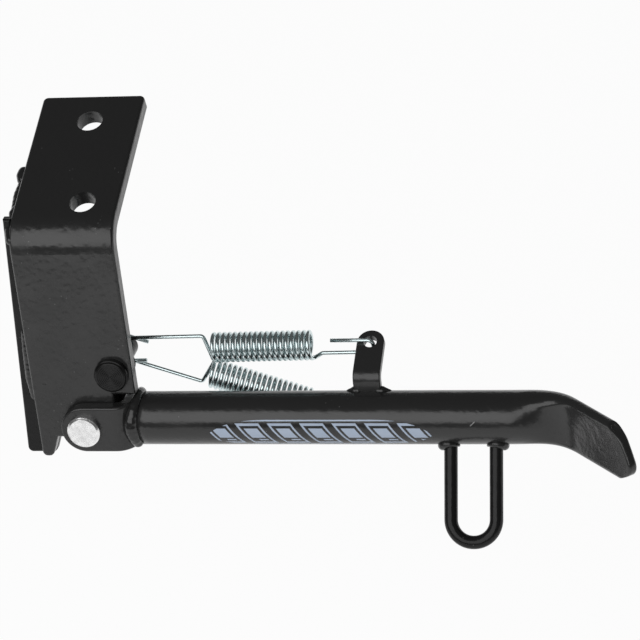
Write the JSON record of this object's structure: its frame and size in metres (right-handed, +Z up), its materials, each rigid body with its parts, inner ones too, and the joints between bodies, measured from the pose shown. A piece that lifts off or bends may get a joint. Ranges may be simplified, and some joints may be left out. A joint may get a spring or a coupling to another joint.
{
  "type": "kickstand",
  "caption": "Motorcycle side stand: bent bolt-on bracket, folding tube leg with a flattened foot and kick loop, and return springs.",
  "frame": {"origin": "middle of the mounting face, halfway between its two bolt holes along the bar", "axes": "+Z up out of the mounting face into the vehicle's frame, +X along the folded leg towards the rear, +Y towards the middle of the vehicle"},
  "size_m": [0.2386, 0.1335, 0.1075],
  "materials": {
    "bracket_paint": "semi-gloss black powder coat with fine orange peel",
    "leg_paint": "smooth semi-gloss black paint",
    "spring_wire": "bright zinc plate with a bluish cast",
    "pin_steel": "bright zinc plate",
    "post_steel": "turned and blackened",
    "bush_bronze": "plain sintered bronze"
  },
  "bodies": {
    "bracket": {"bracket_plate": "bracket_paint", "backing_plate": "bracket_paint", "flange_weld": "bracket_paint", "side_weld": "bracket_paint", "pivot_bush": "bush_bronze", "spring_post": "post_steel", "post_weld": "bracket_paint"},
    "leg": {"clevis": "leg_paint", "pivot_pin": "pin_steel", "leg_tube": "leg_paint", "clevis_weld": "leg_paint", "kick_loop": "leg_paint", "kick_loop_weld_near": "leg_paint", "kick_loop_weld_far": "leg_paint", "upper_ear": "leg_paint", "upper_ear_welds": "leg_paint", "lower_ear": "leg_paint", "lower_ear_welds": "leg_paint"},
    "upper_spring": {"upper_spring_coil": "spring_wire"},
    "upper_spring_end": {"upper_spring_hook": "spring_wire"},
    "lower_spring": {"lower_spring_coil": "spring_wire"},
    "lower_spring_end": {"lower_spring_hook": "spring_wire"}
  },
  "joints": [
    {"name": "leg_fold", "type": "hinge", "parent": "bracket", "child": "leg", "pos_m": [0, -0.06132, -0.07564], "axis": [0, 0.9252, -0.3795], "range_deg": [0, 110], "stiffness_Nm_per_rad": 0.8, "springref_deg": -137.51},
    {"name": "upper_spring_swing", "type": "hinge", "parent": "bracket", "child": "upper_spring", "pos_m": [0.0123, -0.0391, -0.06205], "axis": [0, 0.9252, -0.3795], "range_deg": [0, 103.2]},
    {"name": "upper_spring_stretch", "type": "slide", "parent": "upper_spring", "child": "upper_spring_end", "axis": [0.9998, 0.0068, 0.0166], "range_m": [0, 0.0377], "deforming": ["upper_spring_coil", "upper_spring_hook"]},
    {"name": "lower_spring_swing", "type": "hinge", "parent": "bracket", "child": "lower_spring", "pos_m": [0.0123, -0.03725, -0.06281], "axis": [0, 0.9252, -0.3795], "range_deg": [0, 97.5]},
    {"name": "lower_spring_stretch", "type": "slide", "parent": "lower_spring", "child": "lower_spring_end", "axis": [0.9435, -0.1257, -0.3066], "range_m": [0, 0.0319], "deforming": ["lower_spring_coil", "lower_spring_hook"]}
  ],
  "couplings": [
    {"joint": "upper_spring_swing", "follows": "leg_fold", "ratio": 0.93706},
    {"joint": "upper_spring_stretch", "follows": "leg_fold", "m_per_rad": 0.019532},
    {"joint": "lower_spring_swing", "follows": "leg_fold", "ratio": 0.88533},
    {"joint": "lower_spring_stretch", "follows": "leg_fold", "m_per_rad": 0.016535}
  ]
}
